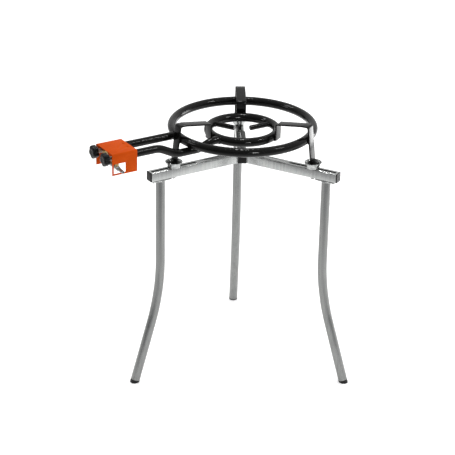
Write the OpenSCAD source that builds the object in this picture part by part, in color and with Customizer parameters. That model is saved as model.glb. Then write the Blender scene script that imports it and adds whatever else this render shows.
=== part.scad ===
// Two-ring gas burner on a three-legged stand.
// The burner lifts off: its three feet stand in cups that slide along the slotted arms.
// Origin: on the floor, at the middle of the whole object's footprint. +Z is up, and the gas
// controls are at the -X end.

/* [Burner rings] */
// Radius of the outer ring's centre line
outer_ring_r = 187.5; // [185:0.5:190]
// Radius of the inner ring's centre line
inner_ring_r = 91; // [88:1:94]
// Outside diameter of the ring tubes
ring_tube_d = 24; // [23:0.5:25]
// Wall of the ring tubes, feed tubes and fingers
tube_wall = 2; // [1.5:0.25:2.5]
// Height of the outer ring's centre above the floor
ring_z = 686; // [682:1:692]
// How far the inner ring lies below the outer ring
inner_ring_drop = 11; // [9:1:12]
// Outside diameter of the inner ring's radial fingers
finger_d = 14; // [12:1:16]
// Distance from the burner's axis to a finger's closed end
finger_in = 24; // [22:1:30]

/* [Pan supports] */
// Width of the flat strip
strip_w = 27; // [24:1:28]
// Thickness of the flat strip
strip_t = 4; // [3:0.5:4]
// Height of the pan rest above the outer ring's centre
rest_rise = 40; // [36:1:44]
// Lean of a support's foot, in degrees
strip_lean = 7; // [6:0.5:8]
// Fall of the bridge between the rings, in degrees
bridge_slope = 8; // [6:0.5:9]

/* [Feed tubes] */
// Distance between the two feed tubes' centre lines
feed_pitch = 60; // [59:0.5:61]
// Outside diameter of the feed tubes
feed_d = 21; // [20:0.5:21.5]
// How far the inner feed tube dips to pass below the outer ring
feed_dip = 25; // [24:0.5:27]

/* [Valve cover] */
// Length of the cover along the tubes
cover_len = 72; // [70:1:76]
// Width of the cover across the tubes
cover_w = 88; // [88:1:92]
// Height of the cover's side panels
cover_h = 58; // [54:1:60]
// Thickness of the cover's sheet
sheet_t = 1.5; // [1:0.25:2]

/* [Knobs] */
// Diameter over the knob's lobes
knob_d = 36; // [34:1:38]
// Depth of a knob
knob_depth = 15; // [13:1:17]
// Number of lobes on a knob
knob_lobes = 5; // [5:1:6]

/* [Stand] */
// Side of the square arm tube
arm_side = 25; // [24:0.5:26]
// Wall of the arm tube
arm_wall = 1.5; // [1.5:0.25:2]
// Distance from the burner's axis to an arm's outer end
arm_reach = 285; // [284:1:290]
// Height of the arms' top face above the floor
arm_top_z = 611; // [608:1:614]
// Width of the slot in an arm
slot_w = 8; // [7:0.5:9]
// Outside diameter of a leg
leg_d = 25; // [24:0.5:25]
// Distance from the burner's axis to a leg's upper part
leg_r = 250; // [249:0.5:251]
// Outward flare of a leg's lower part, in degrees
leg_flare = 17; // [15:0.5:18]
// Radius of the bend in a leg
leg_bend_r = 620; // [560:10:660]
// Length of a leg's straight upper part
leg_upper = 230; // [210:5:240]

/* [Cups] */
// Outside diameter of a cup's rim
cup_d = 46; // [45:1:48]
// Height of a cup
cup_h = 16; // [15:1:18]

/* [Hidden] */
$fn = 64;

// Directions of the arms, legs and supports, seen from above
FEED = 180;
BACK = 60;
RIGHT = 300;
SPOKES = [FEED, BACK, RIGHT];
// Sides on which the two feed tubes and their controls lie
OUTER = 1;
INNER = -1;

// Colours
ENAMEL = "#151517";
ZINC = "#b9bcbe";
PLATED = "#8f9294";
ORANGE = "#d9601e";
PLASTIC = "#1c1c1e";
BRASS = "#b08d4a";

// Control group, as distances from the burner's axis towards -X
cover_in = 343;
cover_out = cover_in + cover_len;
knob_back = cover_out + 6;
knob_front = knob_back + knob_depth;
valve_front = cover_out - 9;
valve_back = valve_front - 26;
valve_d = 17;
injector_len = 13;
mixer_out = valve_back - 8;
mixer_len = 14;
mixer_d = 24;
tube_lap = 5;
tube_end = mixer_out - mixer_len + tube_lap;
push_travel = 4;
run_gap = 0.3;
seat_t = 1.2;
seat_d = 14;
stem_d = 6;
stem_fit = 0.05;
stem_in_knob = 10;
stem_in_valve = 13;
spring_d = 12;
spring_wall = 1.2;
manifold_d = 12;
manifold_x = valve_front - 12;
manifold_drop = 29;
manifold_half = 37;
inlet_y = 35;
plug_in = 4;
gas_hole = 3;
nozzle_d = 9;
nozzle_plain = 14;
nozzle_barb = 5;
nozzle_hex = 12;
nozzle_hex_h = 4;
window_len = 34;
window_h = 26;
window_border = 4.5;
bracket_x = cover_in + 9;
bracket_w = 11;
rivet_y = 12;
rivet_d = 4;
rivet_head_d = 8;

// Where things lie
ring_reach = outer_ring_r + ring_tube_d / 2;
burner_x = (knob_front - ring_reach) / 2;
inner_ring_z = ring_z - inner_ring_drop;
feed_y = feed_pitch / 2;
cover_top = ring_z + feed_d / 2 + 5;
manifold_z = ring_z - manifold_drop;

// Arms: a closed square tube with a slot along its top face and a shorter one below
arm_low_z = arm_top_z - arm_side;
hub_reach = arm_side / 2 * tan(60);
arm_cap_t = 2.5;
arm_plug_len = 6;
slot_in = 145;
slot_out = 278;
low_slot_out = 222;

// Legs
plate_t = 3;
plate_len = 55;
leg_bolt_gap = 20;
leg_wall = 1.5;
bolt_d = 6;
bolt_hole = 6.6;
bolt_tip = 2;
nut_af = 10;
nut_h = 4;
head_h = 4;
leg_top_z = arm_low_z - plate_t;
leg_lower = (leg_top_z - leg_upper - leg_bend_r * sin(leg_flare)) / cos(leg_flare);
foot_t = 4;
foot_plug = 18;
leg_cut = leg_lower - foot_t - leg_d / 2 * tan(leg_flare);

// Cups
cup_wall = 1.6;
cup_base_d = 36;
cup_z = arm_top_z + run_gap;
cup_head_h = 3;
cup_head_d = 14;
flange_d = 14;
flange_t = 1.5;

// Pan support profile: foot, pan rest, sloping bridge, and a tab down to the inner ring
bend_r = 5;
rest_len = 12;
strip_z = cup_z + cup_wall + cup_head_h + run_gap + strip_t / 2 * sin(strip_lean);
strip_gap = ring_tube_d / 2 + strip_t / 2;
foot_r = outer_ring_r + strip_gap * cos(strip_lean)
         + (ring_z + strip_gap * sin(strip_lean) - strip_z) * tan(strip_lean);
rest_z = ring_z + rest_rise - strip_t / 2;
foot_len = (rest_z - strip_z - bend_r * (1 - sin(strip_lean))) / cos(strip_lean);
rest_r = foot_r - foot_len * sin(strip_lean) - bend_r * cos(strip_lean);
tab_r = inner_ring_r + strip_gap;
bridge_len = (rest_r - rest_len - bend_r - tab_r) / cos(bridge_slope);
tab_z = rest_z - bend_r * (1 - cos(bridge_slope)) - bridge_len * sin(bridge_slope)
        - bend_r * cos(bridge_slope);
tab_len = tab_z - inner_ring_z + 6;

// Inner feed tube: level, down under the outer ring, level, and up to the inner ring
dip_bend_r = 60;
dip_angle = 26;
dip_start = 286;
rise_angle = 22;
rise_end = 105;
ring_let = 8;
feed_rise = feed_dip - inner_ring_drop;
dip_len = (feed_dip - 2 * dip_bend_r * (1 - cos(dip_angle))) / sin(dip_angle);
rise_len = (feed_rise - 2 * dip_bend_r * (1 - cos(rise_angle))) / sin(rise_angle);
dip_run = 2 * dip_bend_r * sin(dip_angle) + dip_len * cos(dip_angle);
rise_run = 2 * dip_bend_r * sin(rise_angle) + rise_len * cos(rise_angle);
low_run = dip_start - dip_run - rise_end - rise_run;

// ---------- helpers ----------

// Draws something built on the burner's axis in its place
module at_burner() translate([burner_x, 0, 0]) children();

// Draws something built along +X on the arm that points in direction dir
module spoke(dir) at_burner() rotate([0, 0, dir]) children();

// Draws something built along +Z, with its outer end at the origin, on one side's feed axis,
// at a distance from the burner's axis
module feed_axis(side, distance)
    at_burner() translate([-distance, side * feed_y, ring_z]) rotate([0, 90, 0]) children();

module hex(af, h) cylinder(d = af / cos(30), h = h, $fn = 6);

module annulus(od, wall) difference() {
    circle(d = od);
    circle(d = od - 2 * wall);
}

module pipe(od, wall, h) difference() {
    cylinder(d = od, h = h);
    translate([0, 0, -1]) cylinder(d = od - 2 * wall, h = h + 2);
}

// Position and heading [x, z, angle from +Z towards +X] at the start of step n of a path
// whose steps are [straight length, bend radius, bend angle]
function heading(steps, n) = n == 0 ? [0, 0, 0] :
    let (p = heading(steps, n - 1), s = steps[n - 1], a = p[2], b = a + s[2], r = s[1] * sign(s[2]))
    [p[0] + s[0] * sin(a) + r * (cos(a) - cos(b)), p[1] + s[0] * cos(a) + r * (sin(b) - sin(a)), b];

// The same path as a list of [x, z, angle], with its bends divided into steps of at most turn_step
function stations(steps, turn_step) = [[0, 0, 0], for (i = [0 : len(steps) - 1])
    let (p = heading(steps, i), s = steps[i], a = p[2], r = s[1] * sign(s[2]),
         k = max(1, ceil(abs(s[2]) / turn_step)))
    for (j = [0 : s[2] == 0 ? 0 : k])
        let (b = a + s[2] * j / k)
        [p[0] + s[0] * sin(a) + r * (cos(a) - cos(b)), p[1] + s[0] * cos(a) + r * (sin(b) - sin(a)), b]];

// Round tube swept along a path in the XZ plane
module bent_tube(steps, od, wall, sides = 24) {
    path = stations(steps, 5);
    n = len(path);
    points = [for (r = [od / 2, od / 2 - wall], p = path, k = [0 : sides - 1])
        let (u = r * cos(360 * k / sides), v = r * sin(360 * k / sides))
        [p[0] + u * cos(p[2]), v, p[1] - u * sin(p[2])]];
    skin = [for (i = [0 : n - 2], k = [0 : sides - 1])
        let (m = (k + 1) % sides) [i * sides + k, (i + 1) * sides + k, (i + 1) * sides + m, i * sides + m]];
    inner = [for (f = skin) [for (q = [3 : -1 : 0]) f[q] + n * sides]];
    ends = [for (e = [0, n - 1], k = [0 : sides - 1])
        let (m = (k + 1) % sides, a = e * sides, b = (e + n) * sides)
        e == 0 ? [a + k, a + m, b + m, b + k] : [b + k, b + m, a + m, a + k]];
    polyhedron(points, concat(skin, inner, ends), convexity = 6);
}

// Flat strip, centred on Y, that follows a path in the XZ plane
module bent_strip(steps, t, w) {
    path = stations(steps, 15);
    function side(g) = [for (p = path) [p[0] + g * t / 2 * cos(p[2]), p[1] - g * t / 2 * sin(p[2])]];
    right = side(1);
    left = side(-1);
    rotate([90, 0, 0]) linear_extrude(w, center = true)
        polygon(concat(right, [for (i = [len(left) - 1 : -1 : 0]) left[i]]));
}

module torus(r, d) rotate_extrude() translate([r, 0]) circle(d = d);

// Distance from the burner's axis, along X, to a ring's centre line at the feed tubes
function chord(ring_r) = sqrt(pow(ring_r, 2) - pow(feed_y, 2));

// Slot along +X with round ends, cut through everything between two heights
module slot(x0, x1, z0, z1) translate([0, 0, z0]) {
    translate([x0, -slot_w / 2, 0]) cube([x1 - x0, slot_w, z1 - z0]);
    for (x = [x0, x1]) translate([x, 0, 0]) cylinder(d = slot_w, h = z1 - z0);
}

// ---------- stand ----------

module square_bar(x0, x1, side) translate([x0, -side / 2, arm_low_z + (arm_side - side) / 2])
    cube([x1 - x0, side, side]);

// Slots and leg bolt holes, to be cut from an arm
module arm_cuts() {
    slot(slot_in, slot_out - slot_w / 2, arm_top_z - arm_wall - 1, arm_top_z + 1);
    slot(slot_in, low_slot_out - slot_w / 2, arm_low_z - 1, arm_low_z + arm_wall + 1);
    for (x = [-leg_bolt_gap, leg_bolt_gap])
        translate([leg_r + x, 0, arm_low_z - 1]) cylinder(d = bolt_hole, h = arm_wall + 2);
}

// Bar whose inner end is mitred to lie against the through arm, on side g
module mitred_bar(side, start, end, g) {
    h = side / 2;
    near = (arm_side / 2 - h / 2) / cos(30);
    far = (arm_side / 2 + h / 2) / cos(30);
    translate([0, 0, arm_low_z + (arm_side - side) / 2]) linear_extrude(side)
        polygon([[near - start, g * h], [end, g * h], [end, -g * h], [far - start, -g * h]]);
}

module side_arm(dir, g) color(ZINC) spoke(dir) difference() {
    mitred_bar(arm_side, 0, arm_reach - arm_cap_t, g);
    mitred_bar(arm_side - 2 * arm_wall, 1, arm_reach, g);
    arm_cuts();
}

module back_arm() color(ZINC) spoke(BACK) difference() {
    square_bar(arm_cap_t - hub_reach, arm_reach - arm_cap_t, arm_side);
    square_bar(-hub_reach, arm_reach, arm_side - 2 * arm_wall);
    arm_cuts();
}

// Plastic end plug, with its flange at x and its body running inwards
module arm_plug(x, inward) color(PLASTIC) difference() {
    union() {
        square_bar(min(x, x - inward * arm_cap_t), max(x, x - inward * arm_cap_t), arm_side);
        square_bar(min(x, x + inward * arm_plug_len), max(x, x + inward * arm_plug_len),
                   arm_side - 2 * arm_wall);
    }
    square_bar(min(x, x + inward * (arm_plug_len + 1)), max(x, x + inward * (arm_plug_len + 1)),
               arm_side - 2 * arm_wall - 4);
}

module arm_cap(dir) spoke(dir) arm_plug(arm_reach - arm_cap_t, -1);
module hub_cap() spoke(BACK) arm_plug(arm_cap_t - hub_reach, 1);

// Draws along a leg's own path, which starts under its plate and goes down and out
module leg_frame(dir) spoke(dir) translate([leg_r, 0, leg_top_z]) rotate([180, 0, 0]) children();

module leg(dir) color(ZINC) leg_frame(dir)
    bent_tube([[leg_upper, leg_bend_r, leg_flare], [leg_cut, 0, 0]], leg_d, leg_wall);

module leg_plate(dir) color(ZINC) spoke(dir) difference() {
    translate([leg_r - plate_len / 2, -arm_side / 2, leg_top_z]) cube([plate_len, arm_side, plate_t]);
    for (x = [-leg_bolt_gap, leg_bolt_gap])
        translate([leg_r + x, 0, leg_top_z - 1]) cylinder(d = bolt_hole, h = plate_t + 2);
}

// Foot plug, cut level where it meets the floor
module foot(dir) color(PLASTIC) intersection() {
    leg_frame(dir) {
        end = heading([[leg_upper, leg_bend_r, leg_flare], [leg_cut, 0, 0]], 2);
        translate([end[0], 0, end[1]]) rotate([0, leg_flare, 0]) {
            cylinder(d = leg_d, h = 2 * leg_d);
            translate([0, 0, -foot_plug]) cylinder(d = leg_d - 2 * leg_wall, h = foot_plug + 1);
        }
    }
    translate([-arm_reach, -2 * arm_reach, 0]) cube([4 * arm_reach, 4 * arm_reach, arm_low_z]);
}

module each_leg_bolt() for (dir = SPOKES, x = [-leg_bolt_gap, leg_bolt_gap])
    spoke(dir) translate([leg_r + x, 0, 0]) children();

module leg_bolts() color(PLATED) each_leg_bolt() {
    translate([0, 0, arm_low_z + arm_wall]) hex(nut_af, head_h);
    translate([0, 0, leg_top_z - nut_h - bolt_tip])
        cylinder(d = bolt_d, h = arm_wall + plate_t + nut_h + bolt_tip);
}

module leg_nuts() color(PLATED) each_leg_bolt() translate([0, 0, leg_top_z - nut_h]) difference() {
    hex(nut_af, nut_h);
    translate([0, 0, -1]) cylinder(d = bolt_d, h = nut_h + 2);
}

// ---------- cups ----------

module cup(dir) color(ZINC) spoke(dir) translate([foot_r, 0, cup_z]) difference() {
    rotate_extrude() {
        base = cup_base_d / 2;
        rim = cup_d / 2;
        polygon([[0, 0], [base - 1, 0], [base, 1], [base, cup_h * 0.35], [rim - 2, cup_h * 0.75],
                 [rim, cup_h - 2], [rim, cup_h], [rim - cup_wall, cup_h], [rim - cup_wall, cup_h - 1.6],
                 [rim - 2 - cup_wall, cup_h * 0.8], [base - cup_wall, cup_h * 0.4],
                 [base - cup_wall, cup_wall], [0, cup_wall]]);
    }
    translate([0, 0, -1]) cylinder(d = bolt_hole, h = cup_wall + 2);
}

module cup_bolt(dir) color(PLATED) spoke(dir) translate([foot_r, 0, cup_z + cup_wall]) {
    rotate_extrude() polygon([[0, 0], [cup_head_d / 2, 0], [cup_head_d / 2, 1],
                              [cup_head_d / 2 - 2, cup_head_h], [0, cup_head_h]]);
    shank = cup_wall + arm_side + 2 * run_gap + flange_t + nut_h + bolt_tip;
    translate([0, 0, -shank]) cylinder(d = bolt_d, h = shank);
}

module cup_nut(dir) color(PLATED) spoke(dir) translate([foot_r, 0, arm_low_z - run_gap]) difference() {
    union() {
        translate([0, 0, -flange_t]) cylinder(d = flange_d, h = flange_t);
        translate([0, 0, -flange_t - nut_h]) hex(nut_af, nut_h);
    }
    translate([0, 0, -flange_t - nut_h - 1]) cylinder(d = bolt_d, h = flange_t + nut_h + 2);
}

// ---------- burner ----------

// Straight drill along a feed tube's axis, from the ring's outside into its tube
module feed_drill(side, ring_r, z) at_burner()
    translate([-ring_r - ring_tube_d, side * feed_y, z]) rotate([0, 90, 0])
        cylinder(d = feed_d - 2 * tube_wall, h = ring_tube_d + ring_r - chord(ring_r));

module ring_tube(r, z) at_burner() translate([0, 0, z])
    rotate_extrude() translate([r, 0]) annulus(ring_tube_d, tube_wall);

module outer_ring() color(ENAMEL) difference() {
    ring_tube(outer_ring_r, ring_z);
    feed_drill(OUTER, outer_ring_r, ring_z);
}

module inner_ring() color(ENAMEL) difference() {
    ring_tube(inner_ring_r, inner_ring_z);
    feed_drill(INNER, inner_ring_r, inner_ring_z);
    for (dir = SPOKES) spoke(dir + 180) translate([finger_in, 0, inner_ring_z]) rotate([0, 90, 0])
        cylinder(d = finger_d - 2 * tube_wall, h = inner_ring_r - finger_in);
}

// Three gas fingers that point at the centre, each closed at its inner end
module inner_fingers() color(ENAMEL) difference() {
    for (dir = SPOKES) spoke(dir + 180) translate([finger_in, 0, inner_ring_z]) rotate([0, 90, 0])
        difference() {
            cylinder(d = finger_d, h = inner_ring_r - finger_in);
            translate([0, 0, tube_wall])
                cylinder(d = finger_d - 2 * tube_wall, h = inner_ring_r - finger_in);
        }
    at_burner() translate([0, 0, inner_ring_z]) torus(inner_ring_r, ring_tube_d);
}

module support(dir) color(ENAMEL) spoke(dir) translate([foot_r, 0, strip_z]) rotate([0, -strip_lean, 0])
    bent_strip([[foot_len, bend_r, strip_lean - 90], [rest_len, bend_r, -bridge_slope],
                [bridge_len, bend_r, bridge_slope - 90], [tab_len, 0, 0]], strip_t, strip_w);

module outer_feed_tube() color(ENAMEL) difference() {
    feed_axis(OUTER, tube_end) pipe(feed_d, tube_wall, tube_end - chord(outer_ring_r));
    at_burner() translate([0, 0, ring_z]) torus(outer_ring_r, ring_tube_d);
}

// Its inner end is let into the inner ring
module inner_feed_tube() color(ENAMEL) feed_axis(INNER, tube_end)
    bent_tube([[tube_end - dip_start, dip_bend_r, dip_angle], [dip_len, dip_bend_r, -dip_angle],
               [low_run, dip_bend_r, -rise_angle], [rise_len, dip_bend_r, rise_angle],
               [rise_end - chord(inner_ring_r) - ring_let, 0, 0]], feed_d, tube_wall);

// Bell that draws in air around the injector; the feed tube is seated in its inner end
module mixer(side) color(ENAMEL) feed_axis(side, mixer_out) rotate_extrude() {
    bore = feed_d / 2 - tube_wall;
    polygon([[mixer_d / 2 - 1, 0], [mixer_d / 2, 1], [mixer_d / 2, mixer_len], [feed_d / 2, mixer_len],
             [feed_d / 2, mixer_len - tube_lap], [bore, mixer_len - tube_lap], [bore, 4]]);
}

module injector(side) color(BRASS) feed_axis(side, valve_back) difference() {
    union() {
        hex(11, 6);
        cylinder(d = 7, h = injector_len);
    }
    translate([0, 0, -1]) cylinder(d = gas_hole, h = injector_len - 1);
    cylinder(d = 1, h = injector_len + 1);
}

module valve(side) color(BRASS) difference() {
    union() {
        feed_axis(side, valve_front) {
            cylinder(d = 13, h = 4);
            translate([0, 0, 4]) cylinder(d = valve_d, h = valve_front - valve_back - 4);
        }
        at_burner() translate([-manifold_x, side * feed_y, manifold_z])
            cylinder(d = 9, h = manifold_drop);
    }
    feed_axis(side, valve_front + 1)
        cylinder(d = stem_d + 2 * stem_fit, h = 1 + stem_in_valve + push_travel + 1);
    feed_axis(side, valve_front) cylinder(d = gas_hole, h = valve_front - valve_back + 1);
    at_burner() translate([-manifold_x, 0, manifold_z]) rotate([90, 0, 0])
        cylinder(d = manifold_d, h = 3 * feed_pitch, center = true);
    at_burner() translate([-manifold_x, side * feed_y, manifold_z])
        cylinder(d = gas_hole, h = manifold_drop);
}

// Draws something built along +Z on the manifold's axis, from y outwards in direction side
module manifold_axis(side, y) at_burner() translate([-manifold_x, side * y, manifold_z])
    rotate([-side * 90, 0, 0]) children();

module manifold() color(PLATED) difference() {
    manifold_axis(OUTER, -inlet_y) pipe(manifold_d, tube_wall, manifold_half + inlet_y);
    for (side = [OUTER, INNER]) at_burner() translate([-manifold_x, side * feed_y, manifold_z])
        cylinder(d = gas_hole, h = manifold_d);
}

module manifold_plug() color(BRASS) manifold_axis(OUTER, manifold_half) {
    hex(12, 3);
    translate([0, 0, -plug_in]) cylinder(d = manifold_d - 2 * tube_wall, h = plug_in + 1);
}

// Hose tail: hexagon, plain neck and two barbs
module hose_nozzle() color(PLATED) manifold_axis(INNER, inlet_y) difference() {
    union() {
        translate([0, 0, 1 - plug_in]) cylinder(d = manifold_d - 2 * tube_wall, h = plug_in);
        hex(nozzle_hex, nozzle_hex_h);
        translate([0, 0, nozzle_hex_h]) cylinder(d = nozzle_d, h = nozzle_plain);
        for (i = [0, 1]) translate([0, 0, nozzle_hex_h + nozzle_plain + i * nozzle_barb])
            cylinder(d1 = nozzle_d, d2 = nozzle_d - 1.6, h = nozzle_barb);
    }
    translate([0, 0, -plug_in]) cylinder(d = nozzle_d - 4, h = cover_w);
}

module each_rivet() for (y = [-rivet_y, rivet_y]) at_burner() translate([-bracket_x, y, 0]) children();

// Bar across both feed tubes that carries the cover
module cover_bracket() color(ENAMEL) difference() {
    at_burner() translate([-bracket_x - bracket_w / 2, -cover_w / 2 + sheet_t + 1, ring_z + feed_d / 2])
        cube([bracket_w, cover_w - 2 * sheet_t - 2, cover_top - sheet_t - ring_z - feed_d / 2]);
    each_rivet() translate([0, 0, ring_z]) cylinder(d = rivet_d, h = feed_d);
}

// Folded cover: a top and two side panels, open at the bottom and both ends
module valve_cover() color(ORANGE) difference() {
    at_burner() translate([-cover_out, -cover_w / 2, cover_top - cover_h])
        cube([cover_len, cover_w, cover_h]);
    at_burner() translate([-cover_out - 1, -cover_w / 2 + sheet_t, cover_top - cover_h - 1])
        cube([cover_len + 2, cover_w - 2 * sheet_t, cover_h - sheet_t + 1]);
    at_burner() translate([-cover_out + window_border, -cover_w, cover_top - cover_h + window_border])
        cube([window_len, cover_w, window_h]);
    each_rivet() translate([0, 0, ring_z]) cylinder(d = rivet_d + 0.4, h = 2 * feed_d);
}

// Low painted rivets, from the cover's top into the bracket
module cover_rivets() color(ORANGE) each_rivet() rotate_extrude()
    polygon([[0, cover_top - 5], [rivet_d / 2, cover_top - 5], [rivet_d / 2, cover_top],
             [rivet_head_d / 2, cover_top], [rivet_head_d / 2 - 1, cover_top + 0.9], [0, cover_top + 1.2]]);

// ---------- controls ----------

module spring_seat(side) color(PLATED) feed_axis(side, knob_back - run_gap) difference() {
    cylinder(d = seat_d, h = seat_t);
    translate([0, 0, -1]) cylinder(d = stem_d + 2 * stem_fit, h = seat_t + 2);
}

// Envelope of the return spring between the valve and the seat
module spring(side) color(PLATED) feed_axis(side, knob_back - 2 * run_gap - seat_t)
    pipe(spring_d, spring_wall, knob_back - 3 * run_gap - seat_t - valve_front);

module stem(side) color(BRASS) feed_axis(side, knob_back + stem_in_knob)
    cylinder(d = stem_d, h = stem_in_knob + knob_back - valve_front + stem_in_valve);

// Lobed knob with a blind bore for the stem and a raised pointer rib
module knob(side) color(PLASTIC) feed_axis(side, knob_front) difference() {
    lobe_r = knob_d * 0.16;
    union() {
        translate([0, 0, 2]) linear_extrude(knob_depth - 2) {
            circle(d = knob_d * 0.8);
            for (i = [0 : knob_lobes - 1]) rotate(i * 360 / knob_lobes)
                translate([knob_d / 2 - lobe_r, 0]) circle(r = lobe_r);
        }
        cylinder(d1 = knob_d * 0.62, d2 = knob_d * 0.74, h = 2);
        translate([1 - knob_d / 2, -1, 0.5]) cube([knob_d / 2 - 1, 2, 2]);
    }
    translate([0, 0, knob_depth - stem_in_knob]) cylinder(d = stem_d, h = stem_in_knob + 1);
}

// ---------- assembly ----------

side_arm(FEED, -1);  // feed_arm
back_arm();
side_arm(RIGHT, 1);  // right_arm
arm_cap(FEED);  // feed_arm_cap
arm_cap(BACK);  // back_arm_cap
arm_cap(RIGHT);  // right_arm_cap
hub_cap();
leg(FEED);  // feed_leg
leg(BACK);  // back_leg
leg(RIGHT);  // right_leg
leg_plate(FEED);  // feed_leg_plate
leg_plate(BACK);  // back_leg_plate
leg_plate(RIGHT);  // right_leg_plate
foot(FEED);  // feed_foot
foot(BACK);  // back_foot
foot(RIGHT);  // right_foot
leg_bolts();
leg_nuts();
cup(FEED);  // feed_cup
cup(BACK);  // back_cup
cup(RIGHT);  // right_cup
cup_bolt(FEED);  // feed_cup_bolt
cup_bolt(BACK);  // back_cup_bolt
cup_bolt(RIGHT);  // right_cup_bolt
cup_nut(FEED);  // feed_cup_nut
cup_nut(BACK);  // back_cup_nut
cup_nut(RIGHT);  // right_cup_nut
outer_ring();
inner_ring();
inner_fingers();
support(FEED);  // feed_support
support(BACK);  // back_support
support(RIGHT);  // right_support
outer_feed_tube();
inner_feed_tube();
mixer(OUTER);  // outer_mixer
mixer(INNER);  // inner_mixer
injector(OUTER);  // outer_injector
injector(INNER);  // inner_injector
valve(OUTER);  // outer_valve
valve(INNER);  // inner_valve
manifold();
manifold_plug();
hose_nozzle();
cover_bracket();
valve_cover();
cover_rivets();
spring_seat(OUTER);  // outer_spring_seat
spring_seat(INNER);  // inner_spring_seat
spring(OUTER);  // outer_spring
spring(INNER);  // inner_spring
stem(OUTER);  // outer_stem
stem(INNER);  // inner_stem
knob(OUTER);  // outer_knob
knob(INNER);  // inner_knob
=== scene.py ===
import math

import bmesh
import bpy
from mathutils import Matrix, Vector

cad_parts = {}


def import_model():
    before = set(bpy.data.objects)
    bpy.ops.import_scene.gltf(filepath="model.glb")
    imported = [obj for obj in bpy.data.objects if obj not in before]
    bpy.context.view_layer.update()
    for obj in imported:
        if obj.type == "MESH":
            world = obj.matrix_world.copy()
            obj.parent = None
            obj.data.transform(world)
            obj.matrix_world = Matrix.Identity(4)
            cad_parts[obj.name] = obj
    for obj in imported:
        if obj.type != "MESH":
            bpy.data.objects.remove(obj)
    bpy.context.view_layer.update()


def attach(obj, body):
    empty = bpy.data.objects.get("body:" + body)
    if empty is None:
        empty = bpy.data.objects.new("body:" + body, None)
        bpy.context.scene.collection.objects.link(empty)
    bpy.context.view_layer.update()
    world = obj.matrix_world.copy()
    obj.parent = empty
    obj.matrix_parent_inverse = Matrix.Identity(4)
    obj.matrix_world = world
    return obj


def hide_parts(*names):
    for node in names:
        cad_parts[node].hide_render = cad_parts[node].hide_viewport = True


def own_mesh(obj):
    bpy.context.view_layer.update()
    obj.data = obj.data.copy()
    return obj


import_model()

# ---------------------------------------------------------------- sizes, in millimetres
BURNER_X = 118.25
OUTER_R, INNER_R = 187.5, 91.0
RING_TUBE_R = 12.0
RING_Z, INNER_Z = 686.0, 675.0
FINGER_R, FINGER_IN = 7.0, 24.0
FEED_Y, FEED_R = 30.0, 10.5
TUBE_END = 363.0
ARM_TOP, ARM_SIDE, ARM_WALL, ARM_REACH = 611.0, 25.0, 1.5, 285.0
ARM_LOW, ARM_MIDDLE, ARM_BORE = ARM_TOP - ARM_SIDE, ARM_TOP - ARM_SIDE / 2, ARM_SIDE - 2 * ARM_WALL
CAP_T = 2.5
MITRES, MITRE_COS = {"feed": -1, "back": 0, "right": 1}, math.cos(math.radians(30))
HUB_REACH = ARM_SIDE / 2 * math.tan(math.radians(60))
SLOT_W, SLOT_IN, SLOT_OUT, LOW_SLOT_OUT = 8.0, 145.0, 278.0, 222.0
LEG_R, LEG_TUBE_R, LEG_STRAIGHT, LEG_BEND_R, LEG_FLARE = 250.0, 12.5, 230.0, 620.0, 17.0
PLATE_T, PLATE_LEN, LEG_BOLT_GAP = 3.0, 55.0, 20.0
LEG_TOP = ARM_LOW - PLATE_T
LEG_ANGLE = math.radians(LEG_FLARE)
LEG_LOWER = (LEG_TOP - LEG_STRAIGHT - LEG_BEND_R * math.sin(LEG_ANGLE)) / math.cos(LEG_ANGLE)
FOOT_T = 4.0
LEG_CUT = LEG_LOWER - FOOT_T - LEG_TUBE_R * math.tan(LEG_ANGLE)
GAP = 0.3
CUP_Z = ARM_TOP + GAP
CUP_WALL, CUP_BASE_R, CUP_RIM_R, CUP_H = 1.6, 18.0, 23.0, 16.0
CUP_HEAD_R, CUP_HEAD_H = 7.0, 3.0
BOLT_R, BOLT_TIP, NUT_AF, NUT_H, HEAD_H = 3.0, 2.0, 10.0, 4.0, 4.0
FLANGE_R, FLANGE_T = 7.0, 1.5
STRIP_T, STRIP_W, STRIP_LEAN, BRIDGE_SLOPE, STRIP_BEND = 4.0, 27.0, 7.0, 8.0, 5.0
REST_RISE, REST_LEN = 40.0, 12.0
COVER_IN, COVER_LEN, COVER_W, COVER_H, SHEET_T = 343.0, 72.0, 88.0, 58.0, 1.5
COVER_OUT = COVER_IN + COVER_LEN
COVER_TOP = RING_Z + FEED_R + 5
WINDOW_LEN, WINDOW_H, WINDOW_BORDER = 34.0, 26.0, 4.5
BRACKET_X, BRACKET_W, RIVET_Y = COVER_IN + 9, 11.0, 12.0
VALVE_FRONT, VALVE_LEN = COVER_OUT - 9, 26.0
VALVE_BACK = VALVE_FRONT - VALVE_LEN
MIXER_OUT, MIXER_LEN, MIXER_R = VALVE_BACK - 8, 14.0, 12.0
MANIFOLD_X, MANIFOLD_Z, MANIFOLD_R = VALVE_FRONT - 12, RING_Z - 29, 6.0
MANIFOLD_HALF, INLET_Y = 37.0, 35.0
KNOB_BACK, KNOB_DEPTH, KNOB_R, KNOB_LOBES = COVER_OUT + 6, 15.0, 18.0, 5
KNOB_FRONT = KNOB_BACK + KNOB_DEPTH
SEAT_T, SEAT_R, SPRING_R, WIRE_R = 1.2, 7.0, 6.0, 0.6
STEM_R, STEM_HOLE_R, STEM_LEN, STEM_IN_KNOB = 3.0, 3.05, 38.0, 10.0
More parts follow.
